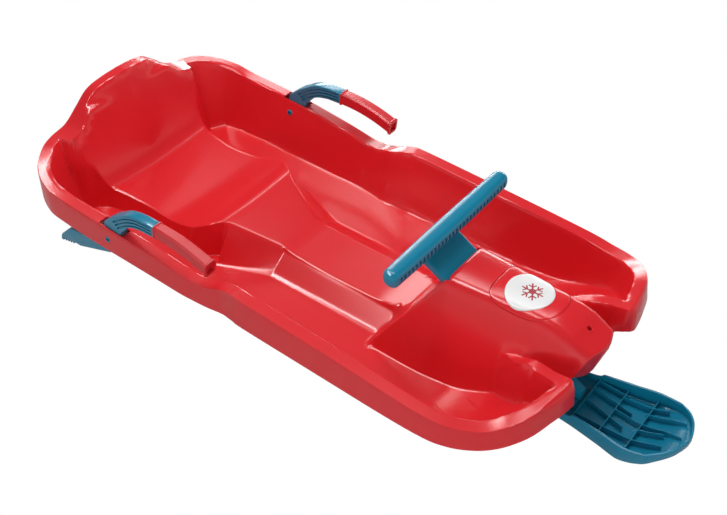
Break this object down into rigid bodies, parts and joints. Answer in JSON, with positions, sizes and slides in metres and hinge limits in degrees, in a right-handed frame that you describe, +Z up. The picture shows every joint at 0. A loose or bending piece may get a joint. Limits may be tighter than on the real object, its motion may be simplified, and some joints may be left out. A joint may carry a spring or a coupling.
{
  "type": "steerable bobsled",
  "caption": "Child's plastic bobsled with a moulded tub and seat, a hood, a handle bar that turns a front ski, and two hand brake levers.",
  "frame": {"origin": "middle of the sled on the ground, midway between the tub's rear edge and the ski's tip", "axes": "+X forward along the sled, +Y to the rider's left, +Z up"},
  "size_m": [1.231, 0.518, 0.2449],
  "materials": {
    "red_shell": "gloss",
    "inner_red": "satin",
    "grip_red": "satin",
    "teal": "satin",
    "badge_white": "satin",
    "bush_grey": "satin",
    "steel": "zinc plated"
  },
  "bodies": {
    "tub": {"hull_shell": "red_shell", "hood_cap": "red_shell", "badge_plate": "badge_white", "rear_bearing_plate": "inner_red", "front_bearing_plate": "inner_red", "rear_bush": "bush_grey", "front_bush": "bush_grey", "brake_pin_left": "teal", "brake_pin_right": "teal"},
    "steering": {"steering_bar": "teal", "steering_column": "teal", "ski": "teal", "bar_screw_left": "steel", "bar_screw_right": "steel", "ski_screw_rear_left": "steel", "ski_screw_rear_right": "steel", "ski_screw_front_left": "steel", "ski_screw_front_right": "steel", "retaining_ring": "steel"},
    "brake_left": {"brake_lever_left": "teal", "brake_grip_left": "grip_red"},
    "brake_right": {"brake_lever_right": "teal", "brake_grip_right": "grip_red"}
  },
  "joints": [
    {"name": "steering_turn", "type": "hinge", "parent": "tub", "child": "steering", "pos_m": [0.1835, 0, 0.1673], "axis": [0.8572, 0, -0.515], "range_deg": [-12, 12]},
    {"name": "brake_left_pull", "type": "hinge", "parent": "tub", "child": "brake_left", "pos_m": [-0.3685, 0.2425, 0.0958], "axis": [0, -1, 0], "range_deg": [0, 20]},
    {"name": "brake_right_pull", "type": "hinge", "parent": "tub", "child": "brake_right", "pos_m": [-0.3685, -0.2425, 0.0958], "axis": [0, -1, 0], "range_deg": [0, 20]}
  ]
}
